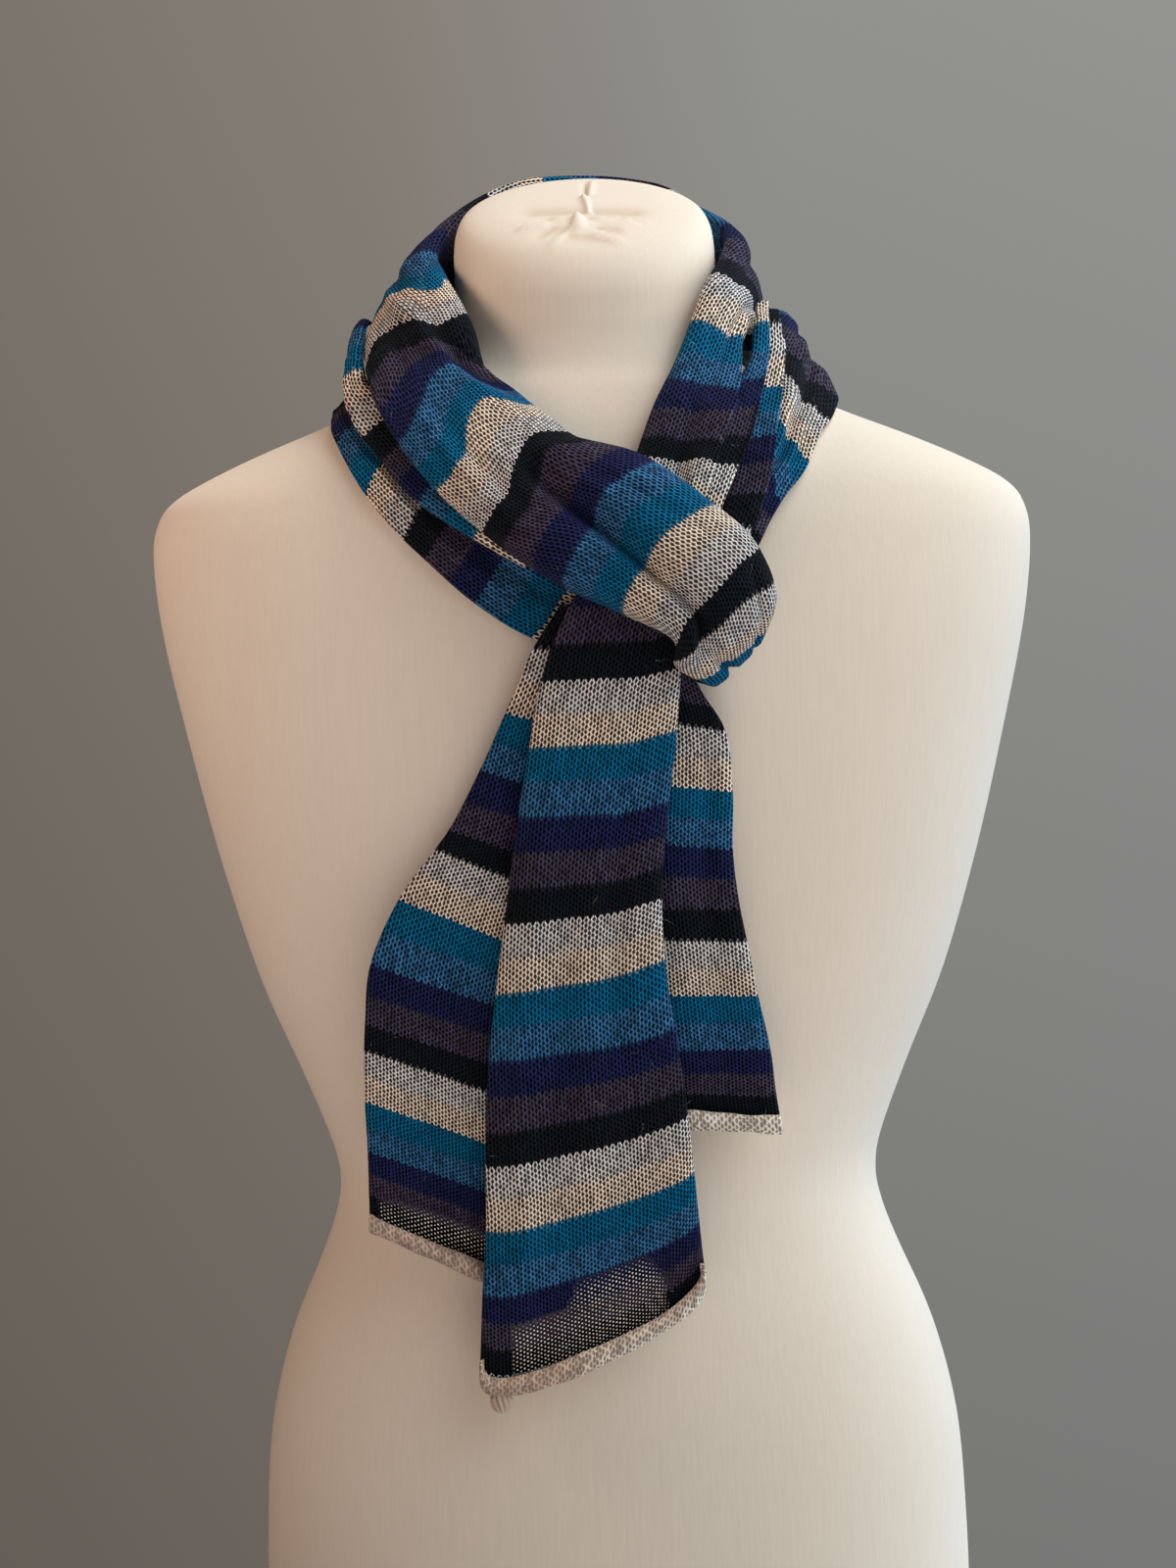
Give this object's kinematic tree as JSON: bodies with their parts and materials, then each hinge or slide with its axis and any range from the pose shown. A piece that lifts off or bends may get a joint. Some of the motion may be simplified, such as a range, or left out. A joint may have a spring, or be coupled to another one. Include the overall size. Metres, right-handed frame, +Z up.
{
  "type": "striped knitted scarf on a dress form",
  "caption": "Striped knitted scarf, folded in half at the nape and pulled through its own loop in front, worn on a limbless tabletop dress form.",
  "frame": {"origin": "centre of the dress form's flat base, where it stands on a table", "axes": "+Z up, -Y towards the front where the scarf is tied, +X towards the viewer's right"},
  "size_m": [0.3848, 0.2387, 0.7137],
  "materials": {
    "striped_knit": "fine stockinette knit in black, grey, beige, teal, mid-blue, indigo and mauve stripes, matt with a light fuzz",
    "form_jersey": "cream cotton jersey, matt"
  },
  "bodies": {
    "root": {"dress_form": "form_jersey", "main_band": "striped_knit", "knot_turn": "striped_knit", "nape_inner": "striped_knit", "right_inner": "striped_knit", "front_tail": "striped_knit", "left_lower": "striped_knit", "left_fold": "striped_knit", "nape_outer": "striped_knit", "right_outer": "striped_knit", "right_pleat": "striped_knit", "right_fold": "striped_knit", "back_tail_left": "striped_knit", "back_tail_right": "striped_knit", "hem_knob": "striped_knit"}
  },
  "joints": []
}
